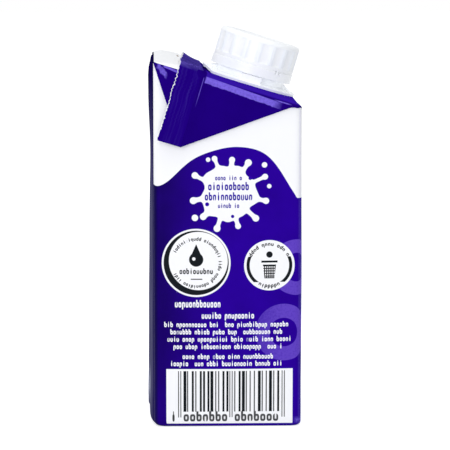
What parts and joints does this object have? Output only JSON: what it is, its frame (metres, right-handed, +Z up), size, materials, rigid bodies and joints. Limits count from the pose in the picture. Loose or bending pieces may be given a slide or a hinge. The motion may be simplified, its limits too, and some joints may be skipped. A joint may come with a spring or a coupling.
{
  "type": "cream carton",
  "caption": "Small folded-board cream carton with a slanted top, folded ears, a cross seal and a white screw cap with a tamper band.",
  "frame": {"origin": "centre of the base, on the surface that the carton stands on", "axes": "+X towards the low front panel and the cap, +Y towards the far side panel, +Z up; the side panels face -Y and +Y"},
  "size_m": [0.0467, 0.0506, 0.1184],
  "materials": {
    "printed_board": "white board printed with a deep violet field, under a clear polymer film with a soft gloss",
    "white_plastic": "moulded white plastic, satin to gloss"
  },
  "bodies": {
    "root": {"carton": "printed_board", "spout": "white_plastic", "tamper_band": "white_plastic", "screw_cap": "white_plastic"}
  },
  "joints": []
}
